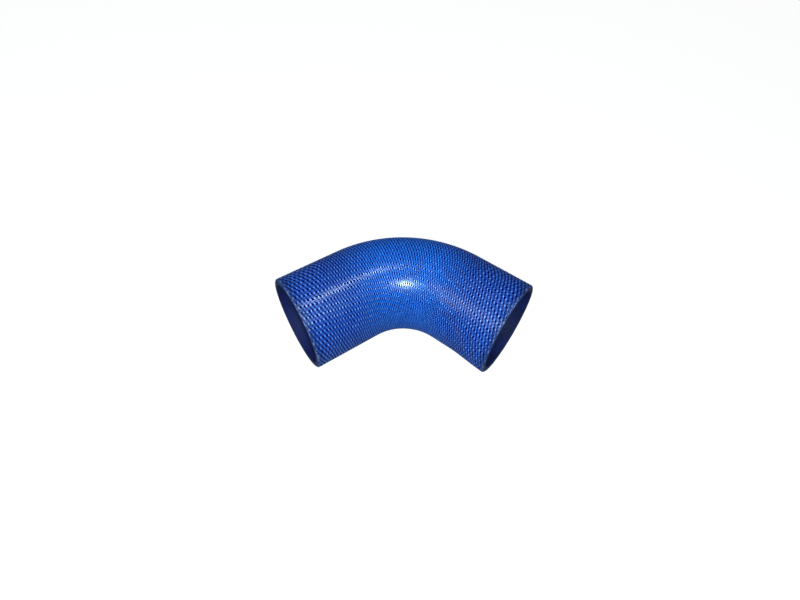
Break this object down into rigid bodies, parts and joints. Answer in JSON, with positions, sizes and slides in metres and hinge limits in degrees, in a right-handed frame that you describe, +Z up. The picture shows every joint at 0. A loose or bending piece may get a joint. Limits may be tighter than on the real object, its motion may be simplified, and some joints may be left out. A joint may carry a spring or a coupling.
{
  "type": "radiator hose",
  "caption": "Moulded silicone elbow hose with a smooth bore and knitted fabric showing through its skin, for joining two coolant pipes.",
  "frame": {"origin": "under the middle of the bounding box, on the surface that the hose lies on", "axes": "+Z up from that surface, +Y towards the outside of the bend, +X from the left cut end to the right one"},
  "size_m": [0.2066, 0.111, 0.075],
  "materials": {
    "silicone": "glossy blue silicone over knitted fabric"
  },
  "bodies": {
    "root": {"hose": "silicone"}
  },
  "joints": []
}
